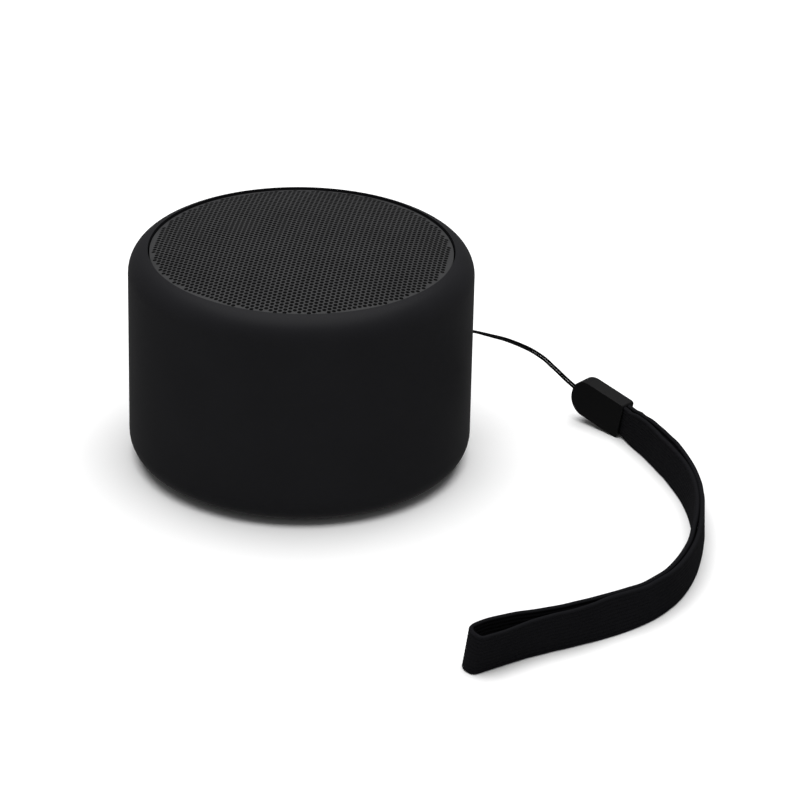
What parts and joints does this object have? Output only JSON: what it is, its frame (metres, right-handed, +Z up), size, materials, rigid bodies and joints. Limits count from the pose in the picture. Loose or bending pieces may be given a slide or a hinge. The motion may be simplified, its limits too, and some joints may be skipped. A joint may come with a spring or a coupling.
{
  "type": "shower speaker",
  "caption": "Small round waterproof loudspeaker with a domed perforated grille, side keys, a covered charging socket and a clip-on webbing wrist strap.",
  "frame": {"origin": "centre of the base plane that the rubber foot stands on", "axes": "+Z up through the middle of the grille; keys and charging socket on +Y; wrist strap on +X"},
  "size_m": [0.1329, 0.1438, 0.0543],
  "materials": {
    "casing_skin": "soft-touch black",
    "grille_sheet": "dark grey paint, satin",
    "seal_foam": "closed-cell foam",
    "acoustic_cloth": "fine woven cloth",
    "inner_plastic": "moulded, matt",
    "seal_rubber": "moulded silicone",
    "screw_steel": "zinc plated",
    "pressed_steel": "grey zinc",
    "cone_paper": "coated paper",
    "copper_winding": "enamelled copper",
    "spider_cloth": "varnished cloth",
    "plated_steel": "nickel plated",
    "ferrite": "sintered",
    "terminal_board": "pressed board and tags",
    "wire_sleeve": "wire insulation",
    "circuit_board": "solder mask",
    "chip_black": "epoxy",
    "socket_nylon": "nylon",
    "flap_rubber": "moulded rubber",
    "key_rubber": "moulded rubber",
    "light_pipe": "clear acrylic",
    "led_chip": "moulded",
    "ribbon_film": "polyester film",
    "battery_wrap": "heat-shrink wrap",
    "foot_rubber": "moulded rubber",
    "nylon_string": "braided nylon",
    "clip_plastic": "moulded, satin",
    "webbing": "woven nylon, fine lengthwise ribs"
  },
  "bodies": {
    "casing": {"outer_shell": "casing_skin", "grille": "grille_sheet", "grille_gasket": "seal_foam", "membrane": "acoustic_cloth", "baffle": "inner_plastic", "baffle_seal": "seal_rubber", "baffle_screws": "screw_steel", "driver_gasket": "seal_foam", "driver_screws": "screw_steel", "driver_basket": "pressed_steel", "surround": "seal_rubber", "spider": "spider_cloth", "driver_top_plate": "plated_steel", "driver_magnet": "ferrite", "driver_yoke": "plated_steel", "driver_terminals": "terminal_board", "speaker_lead": "wire_sleeve", "main_board": "circuit_board", "board_screws": "screw_steel", "radio_module": "plated_steel", "board_chips": "chip_black", "board_capacitors": "plated_steel", "board_sockets": "socket_nylon", "charge_socket": "plated_steel", "flap_pin": "screw_steel", "key_board": "circuit_board", "key_switches": "terminal_board", "key_board_screws": "screw_steel", "key_seal": "seal_rubber", "status_lens": "light_pipe", "status_led": "led_chip", "key_ribbon": "ribbon_film", "battery_pack": "battery_wrap", "battery_foam": "seal_foam", "battery_lead": "wire_sleeve", "bottom_cover": "inner_plastic", "bottom_seal": "seal_rubber", "bottom_screws": "screw_steel", "foot_ring": "foot_rubber", "lanyard_string": "nylon_string", "cord_clip": "clip_plastic", "wrist_strap": "webbing"},
    "moving_cone": {"cone": "cone_paper", "dust_cap": "cone_paper", "voice_coil": "copper_winding"},
    "flap": {"port_flap": "flap_rubber"},
    "power_key": {"power_button": "key_rubber"},
    "minus_key": {"minus_button": "key_rubber"},
    "play_key": {"play_button": "key_rubber"},
    "plus_key": {"plus_button": "key_rubber"}
  },
  "joints": [
    {"name": "cone_slide", "type": "slide", "parent": "casing", "child": "moving_cone", "axis": [0, 0, 1], "range_m": [-0.0015, 0.0015], "stiffness_N_per_m": 1500, "deforming": ["surround", "spider"]},
    {"name": "flap_hinge", "type": "hinge", "parent": "casing", "child": "flap", "pos_m": [0, 0.0385, 0.0126], "axis": [-1, 0, 0], "range_deg": [0, 90]},
    {"name": "power_press", "type": "slide", "parent": "casing", "child": "power_key", "axis": [0, -1, 0], "range_m": [0, 0.0005], "stiffness_N_per_m": 1500, "springref_m": -0.0004},
    {"name": "minus_press", "type": "slide", "parent": "casing", "child": "minus_key", "axis": [0, -1, 0], "range_m": [0, 0.0005], "stiffness_N_per_m": 1500, "springref_m": -0.0004},
    {"name": "play_press", "type": "slide", "parent": "casing", "child": "play_key", "axis": [0, -1, 0], "range_m": [0, 0.0005], "stiffness_N_per_m": 1500, "springref_m": -0.0004},
    {"name": "plus_press", "type": "slide", "parent": "casing", "child": "plus_key", "axis": [0, -1, 0], "range_m": [0, 0.0005], "stiffness_N_per_m": 1500, "springref_m": -0.0004}
  ]
}
